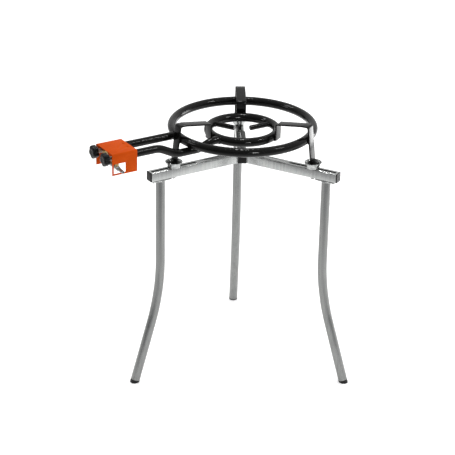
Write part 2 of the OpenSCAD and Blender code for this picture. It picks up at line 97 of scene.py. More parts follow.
# where the pan supports' strips start, in the cups
STRIP_ANGLE = math.radians(STRIP_LEAN)
STRIP_GAP = RING_TUBE_R + STRIP_T / 2
STRIP_Z = CUP_Z + CUP_WALL + CUP_HEAD_H + GAP + STRIP_T / 2 * math.sin(STRIP_ANGLE)
STRIP_R = (OUTER_R + STRIP_GAP * math.cos(STRIP_ANGLE)
           + (RING_Z + STRIP_GAP * math.sin(STRIP_ANGLE) - STRIP_Z) * math.tan(STRIP_ANGLE))
SPOKES = {"feed": 180, "back": 60, "right": 300}
SIDES = {"outer": 1, "inner": -1}

MM = 0.001
TO_METRES = Matrix.Scale(MM, 4)
TURN = math.tau


def deg(a):
    return math.radians(a)


def move(x=0, y=0, z=0):
    return Matrix.Translation((x, y, z))


def turn(angle, axis):
    return Matrix.Rotation(deg(angle), 4, axis)


def at_burner():
    return TO_METRES @ move(BURNER_X)


def spoke(direction):
    return at_burner() @ turn(direction, "Z")


def feed_axis(side, distance):
    """Along a feed tube: +Z points at the burner, from a point outside it."""
    return at_burner() @ move(-distance, side * FEED_Y, RING_Z) @ turn(90, "Y")


def manifold_axis(side, y):
    return at_burner() @ move(-MANIFOLD_X, side * y, MANIFOLD_Z) @ turn(-side * 90, "X")


# ---------------------------------------------------------------- outlines and paths

def on_circle(r, k, sides):
    """Point k of a circle divided into sides."""
    return r * math.cos(TURN * k / sides), r * math.sin(TURN * k / sides)


def rounded(points, radius, steps=4, closed=True):
    """The same outline with an arc at each corner. A point may carry its own radius as a third number."""
    out = []
    n = len(points)
    for i, q in enumerate(points):
        p, r = Vector(q[:2]), (q[2] if len(q) > 2 else radius)
        if r == 0 or (not closed and i in (0, n - 1)):
            out.append(p)
            continue
        a, b = Vector(points[i - 1][:2]) - p, Vector(points[(i + 1) % n][:2]) - p
        half = a.angle(b) / 2
        cut = min(r / math.tan(half), a.length * 0.49, b.length * 0.49)
        a.normalize()
        b.normalize()
        r = cut * math.tan(half)
        centre = p + (a + b).normalized() * (r / math.sin(half))
        start, end = p + a * cut - centre, p + b * cut - centre
        angle = start.angle_signed(end)
        for k in range(steps + 1):
            t = -angle * k / steps
            out.append(centre + Vector((start.x * math.cos(t) - start.y * math.sin(t),
                                        start.x * math.sin(t) + start.y * math.cos(t))))
    return out


def circle(r, sides):
    return [Vector(on_circle(r, k, sides)) for k in range(sides)]


def rectangle(w, h, r, steps=4):
    return rounded([(-w / 2, -h / 2), (w / 2, -h / 2), (w / 2, h / 2), (-w / 2, h / 2)], r, steps)


def stadium(x0, x1, w, steps=10):
    ends = [(x1, -90), (x0, 90)]
    turns = [(x, deg(a + 180 * k / steps)) for x, a in ends for k in range(steps + 1)]
    return [Vector((x + w / 2 * math.cos(t), w / 2 * math.sin(t))) for x, t in turns]


def stations(steps, turn_step=3.0):
    """[x, z, heading] along a path of straights and bends in the XZ plane."""
    x = z = a = 0.0
    out = [(x, z, a)]
    for length, radius, bend in steps:
        x, z = x + length * math.sin(a), z + length * math.cos(a)
        if length:
            out.append((x, z, a))
        if bend:
            k, r = max(1, math.ceil(abs(bend) / turn_step)), math.copysign(radius, bend)
            for j in range(1, k + 1):
                b = a + deg(bend) * j / k
                out.append((x + r * (math.cos(a) - math.cos(b)), z + r * (math.sin(b) - math.sin(a)), b))
            x, z, a = out[-1]
    return out


# ---------------------------------------------------------------- mesh building

def loft(bm, rings, loop=False, caps=True):
    """Joins rings of points with faces, and returns the faces between them in order."""
    vs = [[bm.verts.new(p) for p in ring] for ring in rings]
    n = len(vs[0])
    pairs = list(zip(vs, vs[1:])) + ([(vs[-1], vs[0])] if loop else [])
    faces = [bm.faces.new((a[k], a[(k + 1) % n], b[(k + 1) % n], b[k])) for a, b in pairs for k in range(n)]
    if caps and not loop:
        bm.faces.new(vs[0][::-1])
        bm.faces.new(vs[-1])
    return faces


def lathe(bm, frame_, profile, sides=48, closed=False):
    """Revolves (radius, height) points about +Z. A closed profile makes a ring."""
    rings = [[frame_ @ Vector((*on_circle(r, k, sides), z)) for k in range(sides)] for r, z in profile]
    return loft(bm, rings, loop=closed)


def sweep(bm, frame_, steps, section, turn_step=3.0):
    """Sweeps a section along a path, with its ends filled."""
    rings = [[frame_ @ Vector((x + u * math.cos(a), v, z - u * math.sin(a))) for u, v in section]
             for x, z, a in stations(steps, turn_step)]
    return loft(bm, rings)


def prism(bm, frame_, outline, z0, z1):
    return loft(bm, [[frame_ @ Vector((p[0], p[1], z)) for p in outline] for z in (z0, z1)])


def hexagon(bm, frame_, af, z0, z1, sides=48, chamfer=0.7):
    """Hexagon with both ends turned to a cone."""

    def radius(k, limit):
        t = (TURN * k / sides) % (TURN / 6) - TURN / 12
        return min(af / 2 / math.cos(t), limit)

    cone = [(0.0, 0.93), (0.35, 1.03), (0.7, 1.1), (1.0, 1.17)]
    levels = [(z0 + f * chamfer, s) for f, s in cone] + [(z1 - f * chamfer, s) for f, s in reversed(cone)]
    loft(bm, [[frame_ @ Vector((*on_circle(radius(k, s * af / 2), k, sides), z)) for k in range(sides)]
              for z, s in levels])


def threaded(bm, frame_, r, z0, z1, pitch=1.0, sides=24, per_turn=8):
    """Rod from z0 to z1 with a helical thread, and a chamfer at z0."""
    depth = 0.5 * pitch
    n = max(2, math.ceil((z1 - z0) / pitch * per_turn))
    rings = []
    for i in range(n + 1):
        z = z0 + (z1 - z0) * i / n
        fade = min(1.0, (z - z0) / pitch)
        ring = []
        for k in range(sides):
            f = (z / pitch - k / sides) % 1.0
            q = r - depth * abs(2 * f - 1) - (1 - fade) * depth * 0.6
            ring.append(frame_ @ Vector((*on_circle(q, k, sides), z)))
        rings.append(ring)
    loft(bm, rings)


def tube_along(bm, points, radius, sides=10, loop=False, ripple=0.0, pitch=1.0):
    """Round bar along a line of points. A ripple makes it look like the runs of a weld bead."""
    n = len(points)
    rings, normal, s = [], None, 0.0
    for i, p in enumerate(points):
        before = points[i - 1] if (loop or i) else p
        after = points[(i + 1) % n] if (loop or i < n - 1) else p
        along = (after - before).normalized()
        if normal is None:
            normal = along.orthogonal().normalized()
        normal = (normal - along * normal.dot(along)).normalized()
        other = along.cross(normal)
        if i:
            s += (p - points[i - 1]).length
        f = (s / pitch) % 1.0
        from_end = min(i, n - 1 - i)
        r = radius * (1 + ripple * (0.5 - f) * 2) * (1 if loop else min(1.0, 0.55 + from_end * 0.3))
        rings.append([p + (normal * math.cos(TURN * k / sides) + other * math.sin(TURN * k / sides)) * r
                      for k in range(sides)])
    if loop:
        first, last = rings[0], rings[-1]

        def twist(d):
            return sum((last[(k + d) % sides] - first[k]).length for k in range(sides))

        shift = min(range(sides), key=twist)
        vs = [[bm.verts.new(q) for q in ring] for ring in rings]
        for i in range(n):
            a, b = vs[i], vs[(i + 1) % n]
            d = 0 if i < n - 1 else shift
            for k in range(sides):
                bm.faces.new((a[(k + d) % sides], a[(k + 1 + d) % sides], b[(k + 1) % sides], b[k]))
    else:
        loft(bm, rings)


def spaced(points, step=0.5, loop=False):
    """The same line with a point about every step."""
    out = []
    ends = points[1:] + ([points[0]] if loop else [])
    for a, b in zip(points, ends):
        k = max(1, round((b - a).length / step))
        out += [a.lerp(b, j / k) for j in range(k)]
    return out if loop else out + [points[-1]]


def bead(bm, frame_, points, radius=1.8, loop=False):
    """Weld bead along a line."""
    line = [frame_ @ p for p in spaced([Vector(p) for p in points], 0.6, loop)]
    tube_along(bm, line, radius * MM, loop=loop, ripple=0.16, pitch=2.4 * MM)


def ports(bm, faces, hole=0.28, lip=0.0, depth=1.3):
    """Turns faces of a fine grid into gas ports, with an edge that may stand up a little."""
    chosen = list(faces)
    for thickness, out in ((hole, lip), (0.12, 0), (0.1, -depth)):
        bmesh.ops.inset_individual(bm, faces=chosen, thickness=thickness * MM, depth=out * MM)


def carve(bm, cutters, bevel=0.35):
    """Cuts closed meshes out of bm, rounds the sharp edges left and returns the result."""
    collection = bpy.context.scene.collection
    made = []
    for k, b in enumerate([bm] + cutters):
        bmesh.ops.recalc_face_normals(b, faces=b.faces)
        me = bpy.data.meshes.new(f"tmp{k}")
        b.to_mesh(me)
        b.free()
        made.append(bpy.data.objects.new(f"tmp{k}", me))
        collection.objects.link(made[-1])
    for c in made[1:]:
        m = made[0].modifiers.new("cut", "BOOLEAN")
        m.operation, m.solver, m.object = "DIFFERENCE", "EXACT", c
    if bevel:
        m = made[0].modifiers.new("edge", "BEVEL")
        m.limit_method, m.angle_limit = "ANGLE", deg(40)
        m.width, m.segments = bevel * MM, 2
    bpy.context.view_layer.update()
    me = bpy.data.meshes.new_from_object(made[0].evaluated_get(bpy.context.evaluated_depsgraph_get()))
    out = bmesh.new()
    out.from_mesh(me)
    for o in made:
        bpy.data.objects.remove(o)
    return out


# ---------------------------------------------------------------- materials

class Graph:
    """Short way to write a material's nodes."""

    def __init__(self, name):
        self.material = bpy.data.materials.new(name)
        self.material.use_nodes = True
        self.tree = self.material.node_tree
        self.tree.nodes.clear()
        self.bsdf = self.add("ShaderNodeBsdfPrincipled")
        out = self.add("ShaderNodeOutputMaterial")
        self.link(self.bsdf.outputs[0], out.inputs[0])
        self.place = self.add("ShaderNodeTexCoord").outputs["Object"]

    def add(self, kind, **values):
        n = self.tree.nodes.new(kind)
        for k, v in values.items():
            setattr(n, k, v)
        return n

    def link(self, a, b):
        self.tree.links.new(a, b)

    def noise(self, scale, detail=2.0, stretch=(1, 1, 1)):
        m = self.add("ShaderNodeMapping")
        m.inputs["Scale"].default_value = stretch
        self.link(self.place, m.inputs["Vector"])
        n = self.add("ShaderNodeTexNoise")
        n.inputs["Scale"].default_value = scale
        n.inputs["Detail"].default_value = detail
        self.link(m.outputs[0], n.inputs["Vector"])
        return n.outputs[0]

    def along(self, direction):
        """Distance from the origin along a direction."""
        n = self.add("ShaderNodeVectorMath", operation="DOT_PRODUCT")
        n.inputs[1].default_value = direction
        self.link(self.place, n.inputs[0])
        return n.outputs["Value"]

    def cells(self, scale):
        n = self.add("ShaderNodeTexVoronoi")
        n.inputs["Scale"].default_value = scale
        self.link(self.place, n.inputs["Vector"])
        grey = self.add("ShaderNodeSeparateColor")
        self.link(n.outputs["Color"], grey.inputs[0])
        return grey.outputs[0]

    def spread(self, value, low, high, a=0.0, b=1.0):
        """Value from low..high mapped to a..b, kept within them."""
        n = self.add("ShaderNodeMapRange")
        for i, v in enumerate((low, high, a, b), 1):
            n.inputs[i].default_value = v
        self.link(value, n.inputs[0])
        return n.outputs[0]

    def blend(self, factor, a, b):
        n = self.add("ShaderNodeMix", data_type="RGBA")
        self.link(factor, n.inputs["Factor"])
        for socket, v in ((n.inputs[6], a), (n.inputs[7], b)):
            if isinstance(v, tuple):
                socket.default_value = (*v, 1)
            else:
                self.link(v, socket)
        return n.outputs[2]

    def bump(self, height, strength, distance, after=None):
        n = self.add("ShaderNodeBump")
        n.inputs["Strength"].default_value = strength
        n.inputs["Distance"].default_value = distance
        self.link(height, n.inputs["Height"])
        if after is not None:
            self.link(after, n.inputs["Normal"])
        return n.outputs[0]

    def finish(self, colour, roughness, normal, **uniform):
        self.link(colour, self.bsdf.inputs["Base Color"])
        self.link(roughness, self.bsdf.inputs["Roughness"])
        self.link(normal, self.bsdf.inputs["Normal"])
        for k, v in uniform.items():
            self.bsdf.inputs[k.replace("_", " ")].default_value = v
        return self.material


def enamel():
    g = Graph("black_enamel")
    tone = g.spread(g.noise(35, 4), 0.3, 0.7)
    colour = g.blend(tone, (0.0015, 0.0015, 0.0014), (0.004, 0.004, 0.0036))
    # painted glints: sparse lighter specks in the enamel's colour stand in for the tiny reflections of its
    # grainy surface
    speck = g.spread(g.noise(1700, 2), 0.68, 0.72)
    colour = g.blend(speck, colour, (0.05, 0.05, 0.045))
    rough = g.spread(g.noise(180, 5), 0.35, 0.7, 0.05, 0.18)
    drip = g.bump(g.noise(150, 2), 0.22, 0.0010)
    skin = g.bump(g.noise(420, 2), 0.20, 0.0005, drip)
    grain = g.bump(g.noise(1900, 1), 0.10, 0.0002, skin)
    return g.finish(colour, rough, grain, Specular_IOR_Level=0.19)


def galvanised():
    g = Graph("galvanised_steel")
    spangle = g.cells(120)
    cloud = g.noise(16, 4)
    colour = g.blend(spangle, (0.43, 0.44, 0.435), (0.46, 0.47, 0.465))
    colour = g.blend(g.spread(cloud, 0.4, 0.8), colour, (0.50, 0.51, 0.50))
    streak = g.spread(g.noise(260, 3, (1, 1, 0.04)), 0.45, 0.7)
    colour = g.blend(streak, colour, (0.37, 0.38, 0.375))
    # painted shade: faces marked on the mesh are darkened towards near black, for the shaded inside of the
    # arms and the legs' darker reflections
    painted_shade = g.add("ShaderNodeAttribute", attribute_name="painted_shade").outputs["Fac"]
    colour = g.blend(painted_shade, colour, (0.05, 0.05, 0.048))
    rough = g.spread(spangle, 0.0, 1.0, 0.20, 0.25)
    normal = g.bump(g.noise(900, 3), 0.03, 0.0002)
    return g.finish(colour, rough, normal, Metallic=0.95)


def plated():
    g = Graph("plated_steel")
    colour = g.blend(g.noise(140, 4), (0.36, 0.36, 0.36), (0.52, 0.52, 0.51))
    rough = g.spread(g.noise(500, 3), 0.3, 0.7, 0.22, 0.40)
    normal = g.bump(g.noise(1500, 2), 0.10, 0.0003)
    return g.finish(colour, rough, normal, Metallic=1.0)


def orange():
    g = Graph("orange_paint")
    colour = g.blend(g.spread(g.noise(30, 3), 0.3, 0.7), (0.49, 0.060, 0.003), (0.55, 0.072, 0.005))
    speck = g.spread(g.noise(1300, 1), 0.70, 0.74)
    colour = g.blend(speck, colour, (0.30, 0.028, 0.002))
    rough = g.spread(g.noise(240, 3), 0.3, 0.7, 0.42, 0.60)
    normal = g.bump(g.noise(800, 2), 0.15, 0.0003)
    return g.finish(colour, rough, normal, Specular_IOR_Level=0.03)


def plastic(name, low, high, dark, light, level):
    g = Graph(name)
    colour = g.blend(g.noise(60, 4), dark, light)
    rough = g.spread(g.noise(420, 3), 0.3, 0.7, low, high)
    normal = g.bump(g.noise(1600, 2), 0.14, 0.0003)
    return g.finish(colour, rough, normal, Specular_IOR_Level=level)


def brass():
    g = Graph("brass")
    colour = g.blend(g.noise(120, 4), (0.40, 0.29, 0.13), (0.52, 0.39, 0.19))
    colour = g.blend(g.spread(g.noise(45, 5), 0.58, 0.75), colour, (0.20, 0.14, 0.07))
    rough = g.spread(g.noise(600, 3), 0.3, 0.7, 0.22, 0.42)
    normal = g.bump(g.noise(1400, 2), 0.08, 0.0003)
    return g.finish(colour, rough, normal, Metallic=1.0)


def grey(level):
    return (level, level, level)


FINISHES = {
    "black_enamel": enamel(),
    "galvanised_steel": galvanised(),
    "plated_steel": plated(),
    "orange_paint": orange(),
    "black_plastic": plastic("black_plastic", 0.34, 0.50, grey(0.004), grey(0.010), 0.2),
    "knob_plastic": plastic("knob_plastic", 0.12, 0.26, grey(0.002), grey(0.005), 0.2),
    "brass": brass(),
}


def piece(name, bm, body, finish, nodes=(), smooth=38, levels=0):
    """Turns a mesh under construction into a piece that rides on a body and stands for some nodes."""
    bmesh.ops.recalc_face_normals(bm, faces=bm.faces)
    me = bpy.data.meshes.new(name)
    bm.to_mesh(me)
    bm.free()
    me.polygons.foreach_set("use_smooth", [True] * len(me.polygons))
    if not levels:
        me.set_sharp_from_angle(angle=deg(smooth))
    me.materials.clear()
    me.materials.append(FINISHES[finish])
    ob = bpy.data.objects.new(name, me)
    bpy.context.scene.collection.objects.link(ob)
    if levels:
        m = ob.modifiers.new("round", "SUBSURF")
        m.levels = m.render_levels = levels
    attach(ob, body)
    if nodes:
        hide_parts(*nodes)
    return ob


# ---------------------------------------------------------------- burner rings and fingers

def ring(name, radius, z, per_port=4, port_pitch=12.0, sides=32):
    """Round tube bent to a ring, with a row of gas ports on each side of its top."""
    count = round(TURN * radius / port_pitch)
    n = count * per_port
    bm = bmesh.new()
    frame_ = at_burner() @ move(z=z)
    rings = []
    for i in range(n):
        a = TURN * i / n
        section = [on_circle(RING_TUBE_R, k, sides) for k in range(sides)]
        rings.append([frame_ @ Vector(((radius + u) * math.cos(a), (radius + u) * math.sin(a), v))
                      for u, v in section])
    faces = loft(bm, rings, loop=True)
    # rows of the grid are counted from the tube's outermost line; row 8 is at the top
    outer_row, inner_row = 5, 10
    chosen = [faces[i * sides + outer_row] for i in range(0, n, per_port)]
    chosen += [faces[(i + per_port // 2) * sides + inner_row] for i in range(0, n, per_port)]
    bmesh.ops.recalc_face_normals(bm, faces=bm.faces)
    ports(bm, chosen, hole=0.3, lip=0.1)
    piece(name, bm, "burner", "black_enamel", [name], levels=1)


ring("outer_ring", OUTER_R, RING_Z)
ring("inner_ring", INNER_R, INNER_Z)


def fingers():
    """Three closed tubes inside the inner ring, with two rows of ports on top."""
    bm, weld = bmesh.new(), bmesh.new()
    sides, step, top, body_start = 24, 2.5, 12, 7
    tip, end = FINGER_IN + 4, INNER_R - RING_TUBE_R + 3
    xs = [FINGER_IN + step * i for i in range(int((end - FINGER_IN) / step) + 1)]
    profile = rounded([(0.02, FINGER_IN), (FINGER_R, FINGER_IN), (FINGER_R, tip)], 2.0, 5, False)
    profile += [(FINGER_R, x) for x in xs if x > tip]
    rows = len(profile) - 1
    for direction in SPOKES.values():
        frame_ = spoke(direction + 180) @ move(z=INNER_Z) @ turn(90, "Y")
        faces = lathe(bm, frame_, profile, sides)
        bmesh.ops.recalc_face_normals(bm, faces=bm.faces)
        chosen = [faces[i * sides + (top + g) % sides] for g, phase in ((-3, 0), (2, 2))
                  for i in range(body_start + phase, rows - 3, 4)]
        ports(bm, chosen, hole=0.25, lip=0.55, depth=1.8)
        line = []
        for k in range(36):
            z, y = on_circle(FINGER_R, k, 36)
            reach = INNER_R - math.sqrt(RING_TUBE_R ** 2 - z ** 2)
            line.append((math.sqrt(reach ** 2 - y ** 2) - 0.4, y, z))
        bead(weld, spoke(direction + 180) @ move(z=INNER_Z), line, 1.5, loop=True)
    piece("inner_fingers", bm, "burner", "black_enamel", ["inner_fingers"], levels=1)
    piece("finger_welds", weld, "burner", "black_enamel")


fingers()


# ---------------------------------------------------------------- pan supports

def supports():
    """Bent strips that stand in the cups, rise over the outer ring and reach down to the inner one."""
    lean, slope = STRIP_ANGLE, deg(BRIDGE_SLOPE)
    rest_z = RING_Z + REST_RISE - STRIP_T / 2
    foot_len = (rest_z - STRIP_Z - STRIP_BEND * (1 - math.sin(lean))) / math.cos(lean)
    rest_r = STRIP_R - foot_len * math.sin(lean) - STRIP_BEND * math.cos(lean)
    bridge = (rest_r - REST_LEN - STRIP_BEND - INNER_R - STRIP_GAP) / math.cos(slope)
    tab_z = rest_z - STRIP_BEND - bridge * math.sin(slope)
    steps = [[foot_len, STRIP_BEND, STRIP_LEAN - 90], [REST_LEN, STRIP_BEND, -BRIDGE_SLOPE],
             [bridge, STRIP_BEND, BRIDGE_SLOPE - 90], [tab_z - INNER_Z + 6, 0, 0]]
    section = rectangle(STRIP_T, STRIP_W, 0.9, 4)
    half = STRIP_W / 2 - 1.5
    for name, direction in SPOKES.items():
        bm = bmesh.new()
        start = spoke(direction) @ move(STRIP_R, 0, STRIP_Z) @ turn(-STRIP_LEAN, "Y")
        sweep(bm, start, steps, section, 7.5)
        bm = carve(bm, [], 0.7)
        piece(f"{name}_support", bm, "burner", "black_enamel", [f"{name}_support"])
        weld = bmesh.new()
        for up in (7.4, -7.4):
            # in the crevice between the strip's inner face and the tube
            out = RING_TUBE_R - 1.5
            x = OUTER_R + out * math.cos(lean) - up * math.sin(lean)
            z = RING_Z + out * math.sin(lean) + up * math.cos(lean)
            bead(weld, spoke(direction), [(x, -half, z), (x, half, z)], 2.1)
        x = INNER_R + RING_TUBE_R - 1.4
        for up in (7.2, -6.4):
            bead(weld, spoke(direction), [(x, -half, INNER_Z + up), (x, half, INNER_Z + up)], 2.0)
        piece(f"{name}_support_welds", weld, "burner", "black_enamel")


supports()


# ---------------------------------------------------------------- feed tubes and gas fittings

def feed_tubes():
    section = circle(FEED_R, 40)
    bend_r, dip_start, dip_angle, dip = 60.0, 286.0, 26.0, 25.0
    rise_end, rise_angle, rise, let_in = 105.0, 22.0, dip - (RING_Z - INNER_Z), 8.0
    chord = {"outer": math.sqrt(OUTER_R ** 2 - FEED_Y ** 2), "inner": math.sqrt(INNER_R ** 2 - FEED_Y ** 2)}

    def double_bend(angle, height):
        """Straight between two bends that together shift the tube by height, and how far they reach."""
        t = deg(angle)
        straight = (height - 2 * bend_r * (1 - math.cos(t))) / math.sin(t)
        return straight, 2 * bend_r * math.sin(t) + straight * math.cos(t)

    dip_len, dip_run = double_bend(dip_angle, dip)
    rise_len, rise_run = double_bend(rise_angle, rise)
    paths = {
        "outer": [[TUBE_END - chord["outer"] - 10, 0, 0]],
        "inner": [[TUBE_END - dip_start, bend_r, dip_angle], [dip_len, bend_r, -dip_angle],
                  [dip_start - dip_run - rise_end - rise_run, bend_r, -rise_angle],
                  [rise_len, bend_r, rise_angle], [rise_end - chord["inner"] - let_in, 0, 0]],
    }
    for name, side in SIDES.items():
        bm = bmesh.new()
        sweep(bm, feed_axis(side, TUBE_END), paths[name], section)
        piece(f"{name}_feed_tube", bm, "burner", "black_enamel", [f"{name}_feed_tube"])
        radius, z0 = (OUTER_R, RING_Z) if name == "outer" else (INNER_R, INNER_Z)
        line = []
        for k in range(48):
            z, y = on_circle(FEED_R, k, 48)
            y += side * FEED_Y
            reach = radius + math.sqrt(RING_TUBE_R ** 2 - z ** 2)
            line.append((-math.sqrt(reach ** 2 - y ** 2) - 0.4, y, z))
        weld = bmesh.new()
        bead(weld, at_burner() @ move(z=z0), line, 2.0, loop=True)
        piece(f"{name}_feed_weld", weld, "burner", "black_enamel")


feed_tubes()


def fittings():
    """From each feed tube outwards: air mixer, injector and valve; below them the gas manifold."""
    bore, lap = FEED_R - 2, MIXER_LEN - 5
    bell = [(MIXER_R - 1, 0, 0.6), (MIXER_R, 1.2, 0.6), (MIXER_R, MIXER_LEN, 1), (FEED_R, MIXER_LEN, 0),
            (FEED_R, lap, 0), (bore, lap, 0), (bore, 4, 1)]
    for name, side in SIDES.items():
        bm = bmesh.new()
        lathe(bm, feed_axis(side, MIXER_OUT), rounded(bell, 0.5), closed=True)
        piece(f"{name}_mixer", bm, "burner", "black_enamel", [f"{name}_mixer"])
        bm = bmesh.new()
        frame_ = feed_axis(side, VALVE_BACK)
        hexagon(bm, frame_, 11, 0, 6)
        jet = [(3.5, 5.5, 0), (3.5, 11.6), (2.6, 13), (0.6, 13, 0), (0.5, 11.5, 0)]
        lathe(bm, frame_, rounded(jet, 0.4, 4, False), 32)
        piece(f"{name}_injector", bm, "burner", "brass", [f"{name}_injector"])
        bm = bmesh.new()
        body = [(3.1, 0.2, 0), (3.3, 0, 0), (6.5, 0), (6.5, 4), (8.5, 4.4), (8.5, 11), (7.7, 11.5),
                (7.7, 19), (8.5, 19.5), (8.5, VALVE_LEN), (3, VALVE_LEN, 0)]
        lathe(bm, feed_axis(side, VALVE_FRONT), rounded(body, 0.5, 3, False), 48)
        branch = [(4.5, 0, 0), (4.5, 9), (5.6, 10), (5.6, 14), (4.5, 15), (4.5, 20, 0)]
        lathe(bm, at_burner() @ move(-MANIFOLD_X, side * FEED_Y, MANIFOLD_Z + 4.2),
              rounded(branch, 0.5, 3, False), 32)
        piece(f"{name}_valve", bm, "burner", "brass", [f"{name}_valve"])
    bm = bmesh.new()
    length, r, waist = MANIFOLD_HALF + INLET_Y, MANIFOLD_R, MANIFOLD_R - 0.4
    profile = [(r, 0), (r, 2.2), (waist, 2.8), (waist, length - 2.8), (r, length - 2.2), (r, length),
               (4, length, 0), (4, 0, 0)]
    lathe(bm, manifold_axis(1, -INLET_Y), rounded(profile, 0.35, 3), closed=True)
    piece("manifold", bm, "burner", "plated_steel", ["manifold"])
    bm = bmesh.new()
    hexagon(bm, manifold_axis(1, MANIFOLD_HALF), 12, 0, 3)
    lathe(bm, manifold_axis(1, MANIFOLD_HALF), [(4, -4), (4, 0.5)], 32)
    piece("manifold_plug", bm, "burner", "brass", ["manifold_plug"])
    bm = bmesh.new()
    frame_ = manifold_axis(-1, INLET_Y)
    hexagon(bm, frame_, 12, 0, 4)
    profile = [(4.0, -3, 0.3), (4.0, 0.5, 0), (4.5, 3.5, 0), (4.5, 18), (3.7, 22.6, 0.2), (4.5, 23.2),
               (3.8, 28, 0.8), (2.5, 28, 0.3), (2.5, -3, 0)]
    lathe(bm, frame_, rounded(profile, 0.3, 3), 40, closed=True)
    piece("hose_nozzle", bm, "burner", "plated_steel", ["hose_nozzle"])


fittings()


def cover():
    """Folded sheet over the valves, with a window in the side where the gas hose comes in."""
    half, drop = COVER_W / 2, COVER_TOP - COVER_H
    under, inside = COVER_TOP - SHEET_T, half - SHEET_T
    outer = [(half, drop, 0), (half, COVER_TOP, 2.6), (-half, COVER_TOP, 2.6), (-half, drop, 0)]
    inner = [(-inside, drop, 0), (-inside, under, 1.1), (inside, under, 1.1), (inside, drop, 0)]
    section = rounded(outer + inner, 0, 6)
    bm = bmesh.new()
    loft(bm, [[at_burner() @ Vector((x, y, z)) for y, z in section] for x in (-COVER_OUT, -COVER_IN)])
    window = bmesh.new()
    x0, z0 = -COVER_OUT + WINDOW_BORDER, drop + WINDOW_BORDER
    middle = move(x0 + WINDOW_LEN / 2, -COVER_W, z0 + WINDOW_H / 2) @ turn(-90, "X")
    prism(window, at_burner() @ middle, rectangle(WINDOW_LEN, WINDOW_H, 1.2, 5), 0, COVER_W)
    rivet = [(0.2, -5, 0), (2.0, -5, 0.3), (2.0, 0, 0), (4.0, 0, 0.1), (3.6, 0.7, 0.8), (2.0, 1.2, 2),
             (0.2, 1.2, 0)]
    holes, rivets = bmesh.new(), bmesh.new()
    for y in (-RIVET_Y, RIVET_Y):
        frame_ = at_burner() @ move(-BRACKET_X, y, COVER_TOP)
        lathe(holes, frame_, [(2.2, -5), (2.2, 5)], 32)
        lathe(rivets, frame_, rounded(rivet, 0.3, 4, False), 40)
    piece("valve_cover", carve(bm, [window, holes], 0.32), "burner", "orange_paint", ["valve_cover"])
    bm = bmesh.new()
    prism(bm, at_burner() @ move(-BRACKET_X), rectangle(BRACKET_W, COVER_W - 5, 1.0), RING_Z + FEED_R, under)
    piece("cover_bracket", carve(bm, [], 0.4), "burner", "black_enamel", ["cover_bracket"])
    piece("cover_rivets", rivets, "burner", "orange_paint", ["cover_rivets"])


cover()


# ---------------------------------------------------------------- controls

def spring_seat(name, side):
    bm = bmesh.new()
    profile = rounded([(STEM_HOLE_R, 0), (SEAT_R, 0), (SEAT_R, SEAT_T), (STEM_HOLE_R, SEAT_T)], 0.3, 3)
    lathe(bm, feed_axis(side, KNOB_BACK - GAP), profile, closed=True)
    piece(f"{name}_spring_seat", bm, f"{name}_push", "plated_steel", [f"{name}_spring_seat"])


def return_spring(name, side):
    """Coil between the seat and the valve, with closed end turns."""
    bm = bmesh.new()
    start, end = KNOB_BACK - 2 * GAP - SEAT_T - WIRE_R, VALVE_FRONT + GAP + WIRE_R
    length, turns, per_turn, end_turn = start - end, 5.5, 36, 0.7
    frame_ = feed_axis(side, start)
    coil = []
    for i in range(int(turns * per_turn) + 1):
        at = i / per_turn
        rise = max(0.0, min(1.0, (at - end_turn) / (turns - 2 * end_turn)))
        coil.append(frame_ @ Vector((*on_circle(SPRING_R - WIRE_R, i, per_turn), length * rise)))
    tube_along(bm, coil, WIRE_R * MM, 8)
    spring = piece(f"{name}_spring", bm, "burner", "plated_steel", [f"{name}_spring"], smooth=60)
    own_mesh(spring)


def knob(name, side):
    bm = bmesh.new()
    n, waist, soften = 200, KNOB_R * 0.8, 0.75
    # (distance behind the front face, scale, how far the lobes stand out)
    levels = [(KNOB_DEPTH, 0.93, 0.9), (KNOB_DEPTH - 0.4, 0.975, 1), (KNOB_DEPTH - 1.2, 0.995, 1),
              (8, 1.0, 1), (4, 0.985, 1), (2.6, 0.955, 1), (1.5, 0.90, 0.95), (0.8, 0.83, 0.85),
              (0.35, 0.74, 0.7), (0.1, 0.65, 0.5), (0.0, 0.57, 0.3), (0.1, 0.50, 0.1), (0.5, 0.46, 0.0),
              (0.7, 0.42, 0.0), (0.6, 0.3, 0.0), (0.5, 0.02, 0.0)]
    frame_ = feed_axis(side, KNOB_FRONT)
    rings = []
    for z, scale, lobes in levels:
        ring_ = []
        for k in range(n):
            wave = (0.5 + 0.5 * math.cos(KNOB_LOBES * TURN * k / n)) ** soften
            r = (waist + (KNOB_R - waist) * (lobes * wave)) * scale
            ring_.append(frame_ @ Vector((*on_circle(r, k, n), z)))
        rings.append(ring_)
    loft(bm, rings)
    # pointer rib on the front, towards the top when the tap is closed
    rib, rib_out = rectangle(2.0, 7.0, 0.9, 4), 11.5
    across = frame_ @ move(-rib_out) @ turn(90, "Z")
    rib_levels = ((0.9, 1.0), (0.2, 1.0), (0.05, 0.86))
    loft(bm, [[across @ Vector((u * k, v * k, z)) for u, v in rib] for z, k in rib_levels])
    piece(f"{name}_knob", bm, f"{name}_control", "knob_plastic", [f"{name}_knob"])


def controls():
    for name, side in SIDES.items():
        spring_seat(name, side)
        return_spring(name, side)
        bm = bmesh.new()
        profile = rounded([(0.3, 0, 0), (STEM_R, 0), (STEM_R, STEM_LEN), (0.3, STEM_LEN, 0)], 0.6, 3, False)
        lathe(bm, feed_axis(side, KNOB_BACK + STEM_IN_KNOB), profile, 40)
        piece(f"{name}_stem", bm, f"{name}_control", "brass", [f"{name}_stem"])
        knob(name, side)


controls()


# ---------------------------------------------------------------- stand

def arm_start(mitre, y, back=0.0):
    """x where an arm begins, for a point's y. A short arm is mitred (1 or -1), the long one is not (0)."""
    if not mitre:
        return CAP_T - HUB_REACH - back
    near, far = ARM_SIDE / 4 / MITRE_COS, ARM_SIDE * 0.75 / MITRE_COS
    return near + (far - near) * (ARM_SIDE / 2 - mitre * y) / ARM_SIDE + back


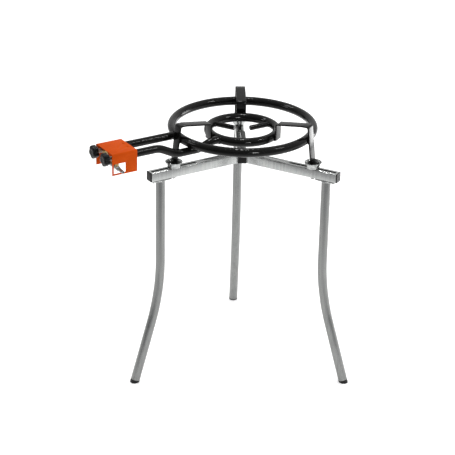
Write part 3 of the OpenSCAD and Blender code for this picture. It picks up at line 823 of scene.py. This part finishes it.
def arm_bar(frame_, side, corner, mitre, end, back=0.0):
    """Square bar along +X at the arms' height."""
    bm = bmesh.new()
    section = rectangle(side, side, corner, 5)
    ends = [[(arm_start(mitre, y, back), y, z) for y, z in section], [(end, y, z) for y, z in section]]
    loft(bm, [[frame_ @ Vector((x, y, ARM_MIDDLE + z)) for x, y, z in points] for points in ends])
    return bm


def slot_cutter(frame_, x1, z0, z1):
    bm = bmesh.new()
    prism(bm, frame_, stadium(SLOT_IN, x1, SLOT_W), z0, z1)
    return bm


def paint_shade(bm, amount, frame_=None):
    """Marks faces for painted shade, which darkens their zinc: all, or only the inner walls of the arm that
    lies in frame_, where the inside of the tube is in shade.
    """
    layer = bm.faces.layers.float.new("painted_shade")
    reach = ARM_SIDE / 2 - ARM_WALL + 0.1
    for f in bm.faces:
        p = frame_.inverted() @ f.calc_center_median() if frame_ else None
        if p is None or (abs(p.y) < reach and abs(p.z - ARM_MIDDLE) < reach):
            f[layer] = amount


def arms():
    h, end = ARM_SIDE / 2, ARM_REACH - CAP_T
    weld = bmesh.new()
    for name, direction in SPOKES.items():
        frame_, g = spoke(direction), MITRES[name]
        bar = arm_bar(frame_, ARM_SIDE, 2.4, g, end)
        bore = arm_bar(frame_, ARM_BORE, 1.2, g, end + 5, 2.0)
        cutters = [bore, slot_cutter(frame_, SLOT_OUT - SLOT_W / 2, ARM_TOP - 4, ARM_TOP + 3),
                   slot_cutter(frame_, LOW_SLOT_OUT - SLOT_W / 2, ARM_LOW - 3, ARM_LOW + 4)]
        bar = carve(bar, cutters, 0.3)
        # painted shade on the arm's inner walls, where the inside of the tube lies in shade
        paint_shade(bar, 1.0, frame_)
        piece(f"{name}_arm", bar, "stand", "galvanised_steel", [f"{name}_arm"])
        if g:
            for y in (g * h, -g * h):
                x = arm_start(g, y)
                bead(weld, frame_, [(x, y, ARM_LOW + 2), (x, y, ARM_TOP - 2)], 1.5)
            y = g * (h - 2.2)
            for z in (ARM_TOP - 0.5, ARM_LOW + 0.5):
                bead(weld, frame_, [(arm_start(g, y), y, z), (arm_start(g, -y), -y, z)], 1.2)
    piece("hub_welds", weld, "stand", "galvanised_steel")


arms()


def arm_plug(name, frame_, x, outward):
    """Cap whose shank is pushed into the end of an arm."""
    bm = bmesh.new()
    head = [(0.0, ARM_SIDE - 0.2), (0.3, ARM_SIDE), (CAP_T * 0.6, ARM_SIDE), (CAP_T * 0.85, ARM_SIDE - 0.7),
            (CAP_T * 0.95, ARM_SIDE - 1.6), (CAP_T, ARM_SIDE - 3.0)]
    shank = [(-6.0, ARM_BORE - 1.0), (-5.0, ARM_BORE - 0.2), (0.1, ARM_BORE - 0.2)]
    for levels, corner in ((head, 2.4), (shank, 1.0)):
        loft(bm, [[frame_ @ Vector((x + outward * t, y, ARM_MIDDLE + z))
                   for y, z in rectangle(w, w, corner, 5)] for t, w in levels])
    piece(name, bm, "stand", "black_plastic", [name])


for name, direction in SPOKES.items():
    arm_plug(f"{name}_arm_cap", spoke(direction), ARM_REACH - CAP_T, 1)
arm_plug("hub_cap", spoke(SPOKES["back"]), CAP_T - HUB_REACH, -1)


def legs():
    """Legs with their welded plates, and the plugs in their lower ends."""
    path = [[LEG_STRAIGHT, LEG_BEND_R, LEG_FLARE], [LEG_CUT, 0, 0]]
    for name, direction in SPOKES.items():
        frame_ = spoke(direction) @ move(LEG_R, 0, LEG_TOP) @ turn(180, "X")
        bm = bmesh.new()
        sweep(bm, frame_, path, circle(LEG_TUBE_R, 56), 0.5)
        # painted shade: the legs' zinc is darkened to stand for the darker reflections they show
        paint_shade(bm, 0.56)
        piece(f"{name}_leg", bm, "stand", "galvanised_steel", [f"{name}_leg"])
        bm = bmesh.new()
        plate = rectangle(PLATE_LEN, ARM_SIDE, 2.5, 5)
        prism(bm, spoke(direction) @ move(LEG_R), plate, LEG_TOP, ARM_LOW)
        bm = carve(bm, [], 0.4)
        piece(f"{name}_leg_plate", bm, "stand", "galvanised_steel", [f"{name}_leg_plate"])
        weld = bmesh.new()
        line = [(u, v, LEG_TOP - 0.6) for u, v in circle(LEG_TUBE_R + 0.6, 60)]
        bead(weld, spoke(direction) @ move(LEG_R), line, 1.8, loop=True)
        piece(f"{name}_leg_weld", weld, "stand", "galvanised_steel")

        # foot plug: its lower end is level where it meets the floor
        bm = bmesh.new()
        x, z, _ = stations(path)[-1]
        plug = frame_ @ move(x, 0, z) @ turn(LEG_FLARE, "Y")
        along = (plug.to_3x3() @ Vector((0, 0, 1))).normalized()

        def ring_at(r, t):
            return [plug @ Vector((u, v, t)) for u, v in circle(r, 56)]

        def on_floor(r, height):
            return [p + along * ((height * MM - p.z) / along.z) for p in ring_at(r, 0.0)]

        r = LEG_TUBE_R
        loft(bm, [ring_at(r - 1.7, -18), ring_at(r - 1.5, -16), ring_at(r - 1.5, -0.02),
                  ring_at(r - 0.5, 0.0), ring_at(r, 0.5), on_floor(r, 1.0), on_floor(r - 0.4, 0.35),
                  on_floor(r - 1.2, 0.0)])
        piece(f"{name}_foot", bm, "stand", "black_plastic", [f"{name}_foot"])


legs()


def fasteners():
    """Bolts that hold the leg plates to the arms."""
    bolts, nuts = bmesh.new(), bmesh.new()
    for direction in SPOKES.values():
        for x in (-LEG_BOLT_GAP, LEG_BOLT_GAP):
            frame_ = spoke(direction) @ move(LEG_R + x)
            hexagon(bolts, frame_, NUT_AF, ARM_LOW + ARM_WALL, ARM_LOW + ARM_WALL + HEAD_H)
            tip = LEG_TOP - NUT_H - BOLT_TIP
            threaded(bolts, frame_, BOLT_R, tip, ARM_LOW + ARM_WALL + 0.2)
            hexagon(nuts, frame_, NUT_AF, LEG_TOP - NUT_H, LEG_TOP)
    piece("leg_bolts", bolts, "stand", "plated_steel", ["leg_bolts"])
    piece("leg_nuts", nuts, "stand", "plated_steel", ["leg_nuts"])


fasteners()


def cups():
    """Flared cups on the arms, each held by a bolt and a flange nut through the slot."""
    base, rim, h, w = CUP_BASE_R, CUP_RIM_R, CUP_H, CUP_WALL
    cup = [(3.3, 0, 0.2), (base, 0, 1.6), (base, h * 0.35, 4), (rim - 2, h * 0.75, 4), (rim, h - 2, 3),
           (rim, h, 0.75), (rim - w, h, 0.75), (rim - w, h - 1.6, 2), (rim - 2 - w, h * 0.8, 3),
           (base - w, h * 0.4, 3), (base - w, w, 1.0), (3.3, w, 0.2)]
    top, dome = w + CUP_HEAD_H, CUP_HEAD_R - 3
    head = [(3.1, w, 0), (CUP_HEAD_R, w, 0.2), (CUP_HEAD_R, w + 1.2, 1), (dome, top, 3), (0.3, top, 0)]
    flange = [(3.1, -FLANGE_T), (FLANGE_R, -FLANGE_T), (FLANGE_R, 0), (3.1, 0)]
    shank = w + ARM_SIDE + 2 * GAP + FLANGE_T + NUT_H + BOLT_TIP
    for name, direction in SPOKES.items():
        body = f"{name}_cup_slider"
        frame_ = spoke(direction) @ move(STRIP_R, 0, CUP_Z)
        bm = bmesh.new()
        lathe(bm, frame_, rounded(cup, 1, 5), 64, closed=True)
        piece(f"{name}_cup", bm, body, "galvanised_steel", [f"{name}_cup"])
        bm = bmesh.new()
        lathe(bm, frame_, rounded(head, 0.5, 5, False), 48)
        threaded(bm, frame_, BOLT_R, w - shank, w + 0.5)
        piece(f"{name}_cup_bolt", bm, body, "plated_steel", [f"{name}_cup_bolt"])
        bm = bmesh.new()
        frame_ = spoke(direction) @ move(STRIP_R, 0, ARM_LOW - GAP)
        lathe(bm, frame_, rounded(flange, 0.35, 3), 48, closed=True)
        hexagon(bm, frame_, NUT_AF, -FLANGE_T - NUT_H, -FLANGE_T + 0.1)
        piece(f"{name}_cup_nut", bm, body, "plated_steel", [f"{name}_cup_nut"])


cups()


# ---------------------------------------------------------------- floor, light and camera

CAMERA_AZIMUTH = -32.7
RIGHT_OF_VIEW = Vector((math.cos(deg(CAMERA_AZIMUTH)), math.sin(deg(CAMERA_AZIMUTH)), 0))
INTO_VIEW = Vector((-RIGHT_OF_VIEW.y, RIGHT_OF_VIEW.x, 0))
CENTRE = Vector((0.0, 0.0, 0.36))


def floor():
    g = Graph("floor")
    colour = g.blend(g.noise(3, 2), grey(0.90), grey(0.92))
    # the pale sheet fades to grey outside the picture: towards the viewer, and on the left beyond the stand
    near = g.spread(g.along(-INTO_VIEW), 0.65, 1.3)
    colour = g.blend(near, colour, (0.38, 0.38, 0.385))
    left = g.spread(g.along(-RIGHT_OF_VIEW - INTO_VIEW * 0.134), 0.72, 1.7)
    beyond = g.spread(g.along(INTO_VIEW), -0.8, 0.2)
    both = g.add("ShaderNodeMath", operation="MULTIPLY")
    g.link(left, both.inputs[0])
    g.link(beyond, both.inputs[1])
    colour = g.blend(both.outputs[0], colour, (0.48, 0.48, 0.485))
    g.link(colour, g.bsdf.inputs["Emission Color"])
    g.finish(colour, g.spread(g.noise(5, 2), 0.3, 0.7, 0.75, 0.85), g.bump(g.noise(400, 2), 0.02, 0.0002),
             Emission_Strength=0.35)
    bm = bmesh.new()
    half = 12.0
    bm.faces.new([bm.verts.new((x * half, y * half, 0)) for x, y in ((-1, -1), (1, -1), (1, 1), (-1, 1))])
    me = bpy.data.meshes.new("floor")
    bm.to_mesh(me)
    bm.free()
    me.materials.append(g.material)
    ob = bpy.data.objects.new("floor", me)
    bpy.context.scene.collection.objects.link(ob)


def world():
    """Surroundings that get brighter towards the back, the right and the top."""
    w = bpy.data.worlds.new("studio")
    bpy.context.scene.world = w
    w.use_nodes = True
    t = w.node_tree
    t.nodes.clear()
    out, back = t.nodes.new("ShaderNodeOutputWorld"), t.nodes.new("ShaderNodeBackground")
    place, split = t.nodes.new("ShaderNodeTexCoord"), t.nodes.new("ShaderNodeVectorMath")
    split.operation = "DOT_PRODUCT"
    split.inputs[1].default_value = RIGHT_OF_VIEW * 0.4 + INTO_VIEW * 0.7 + Vector((0, 0, 0.4))
    ramp = t.nodes.new("ShaderNodeMapRange")
    low, high, dim, bright = -0.75, 0.65, 0.16, 0.8
    for i, v in enumerate((low, high, dim, bright), 1):
        ramp.inputs[i].default_value = v
    t.links.new(place.outputs["Generated"], split.inputs[0])
    t.links.new(split.outputs["Value"], ramp.inputs[0])
    t.links.new(ramp.outputs[0], back.inputs["Strength"])
    back.inputs["Color"].default_value = (1, 1, 1, 1)
    t.links.new(back.outputs[0], out.inputs[0])


def area_light(name, offset, size, power, target=CENTRE, height=None, reflected=True):
    """Lamp at a place given from CENTRE as metres to the right, into the view and up."""
    data = bpy.data.lights.new(name, "AREA")
    data.shape, data.size, data.energy = "RECTANGLE" if height else "DISK", size, power
    if height:
        data.size_y = height
    ob = bpy.data.objects.new(name, data)
    right, into, up = offset
    ob.location = CENTRE + RIGHT_OF_VIEW * right + INTO_VIEW * into + Vector((0, 0, up))
    ob.rotation_euler = (target - ob.location).to_track_quat("-Z", "Y").to_euler()
    ob.visible_camera = False
    ob.visible_glossy = reflected
    bpy.context.scene.collection.objects.link(ob)


def camera():
    ring_centre = Vector((BURNER_X, 0, RING_Z)) * MM
    distance, elevation, pitch, yaw, roll = 4.5, deg(21.5), deg(3.45), deg(-0.47), deg(1.2)
    away = -INTO_VIEW * math.cos(elevation) + Vector((0, 0, math.sin(elevation)))
    place = ring_centre + away * distance
    down = elevation + pitch
    level = RIGHT_OF_VIEW * math.sin(yaw) + INTO_VIEW * math.cos(yaw)
    forward = level * math.cos(down) - Vector((0, 0, math.sin(down)))
    right = RIGHT_OF_VIEW * math.cos(yaw) - INTO_VIEW * math.sin(yaw)
    up = right.cross(forward)
    r = right * math.cos(roll) + up * math.sin(roll)
    u = up * math.cos(roll) - right * math.sin(roll)
    data = bpy.data.cameras.new("camera")
    data.sensor_width, data.lens = 36.0, 134.0
    data.clip_start, data.clip_end = 0.1, 60.0
    ob = bpy.data.objects.new("camera", data)
    ob.matrix_world = Matrix.Translation(place) @ Matrix((r, u, -forward)).transposed().to_4x4()
    bpy.context.scene.collection.objects.link(ob)
    bpy.context.scene.camera = ob


floor()
world()
area_light("key", (1.8, -0.5, 2.3), 0.22, 12)
area_light("back", (-1.5, 0.9, 2.4), 0.2, 8)
area_light("overhead", (0.1, 0.2, 2.2), 0.26, 11)
area_light("fill", (0.9, -2.3, 0.9), 0.4, 18)
area_light("side", (-2.2, -0.2, 1.3), 0.22, 6)
area_light("strip", (1.7, 1.0, 0.1), 0.7, 15, height=0.8)
area_light("far_floor", (0, 4.2, 2.6), 3.5, 90, target=CENTRE + INTO_VIEW * 4.2, reflected=False)
camera()
scene = bpy.context.scene
scene.view_settings.view_transform = "Standard"
scene.view_settings.look = "None"
